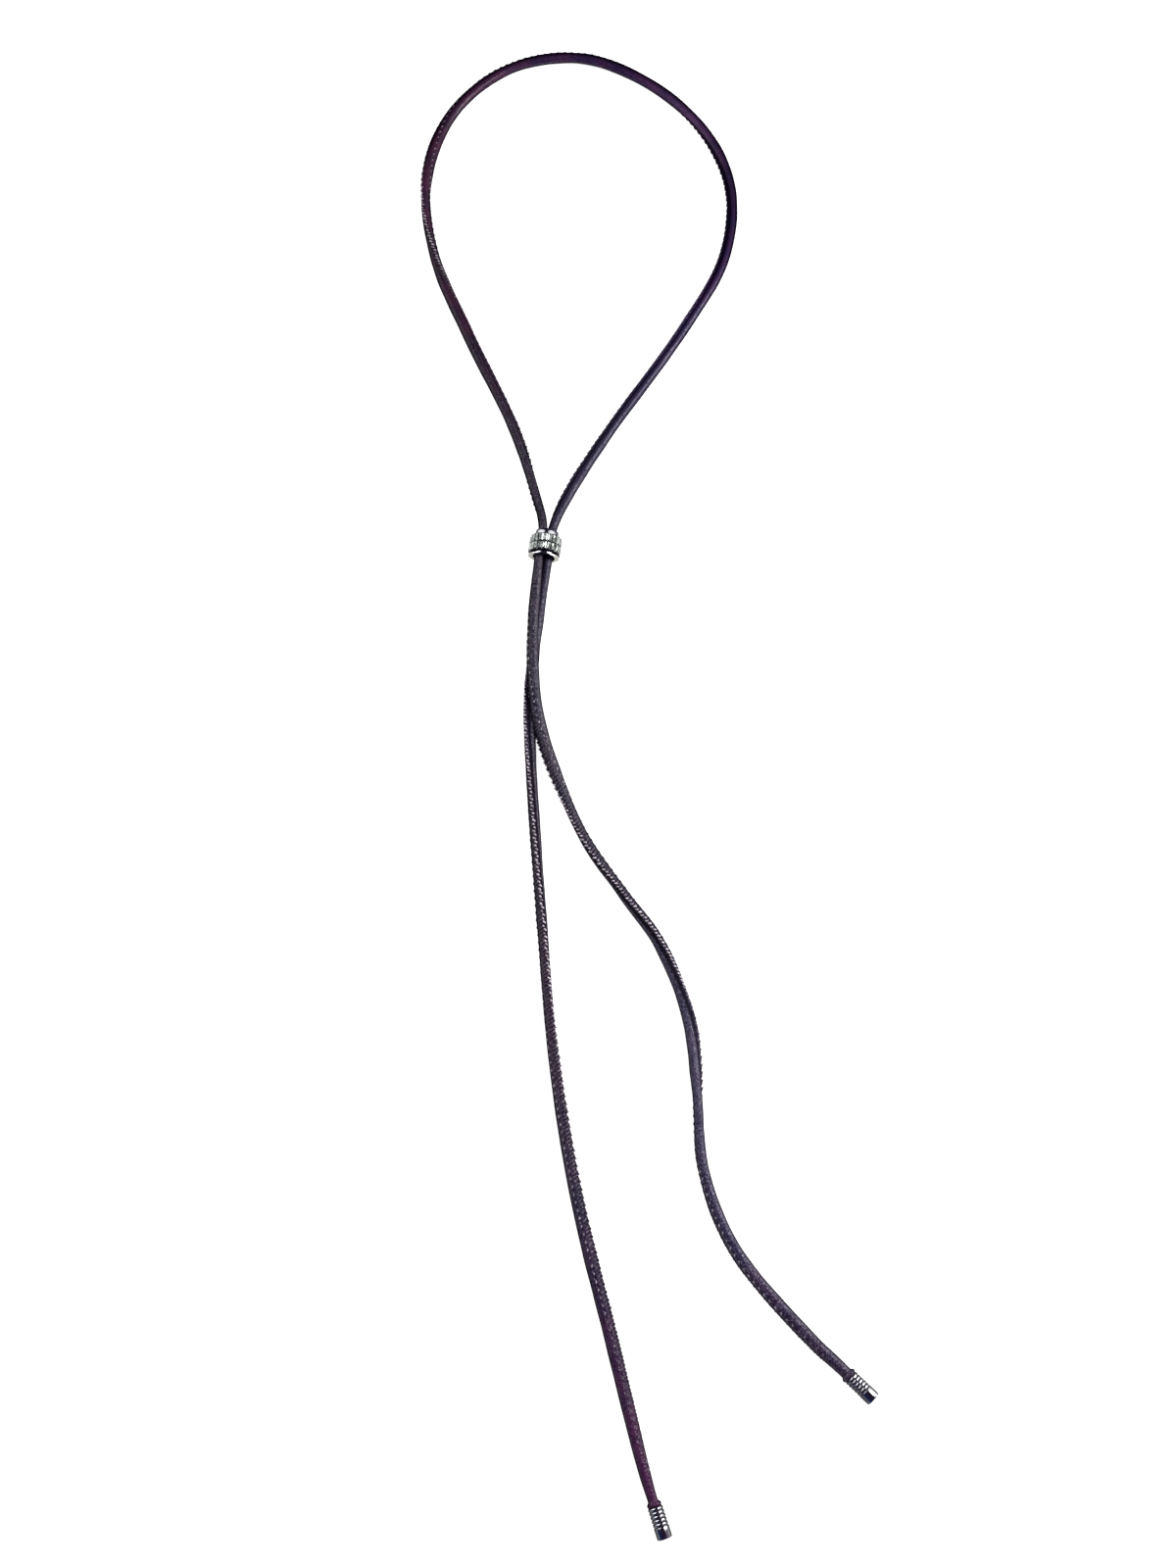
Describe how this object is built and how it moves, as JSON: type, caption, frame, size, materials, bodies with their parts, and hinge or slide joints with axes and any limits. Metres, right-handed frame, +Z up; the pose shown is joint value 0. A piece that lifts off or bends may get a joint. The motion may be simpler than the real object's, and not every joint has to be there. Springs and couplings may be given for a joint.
{
  "type": "lariat necklace",
  "caption": "Lariat necklace laid flat: a stitched leather cord doubled through a crystal-set slider into a neck loop, its loose tails ending in ribbed metal caps.",
  "frame": {"origin": "on the surface that the necklace lies on, under the middle of its outline", "axes": "+Z up from the surface, +Y along the necklace towards the far bend of the neck loop, the loose tails towards -Y, +X across it"},
  "size_m": [0.1513, 0.5265, 0.0113],
  "materials": {
    "leather": "aubergine leather with a slight sheen and a fine grain",
    "polished_steel": "mirror polished, the slider's band set with clear crystals"
  },
  "bodies": {
    "root": {"leather_cord": "leather", "slider": "polished_steel", "left_end_cap": "polished_steel", "right_end_cap": "polished_steel"}
  },
  "joints": []
}
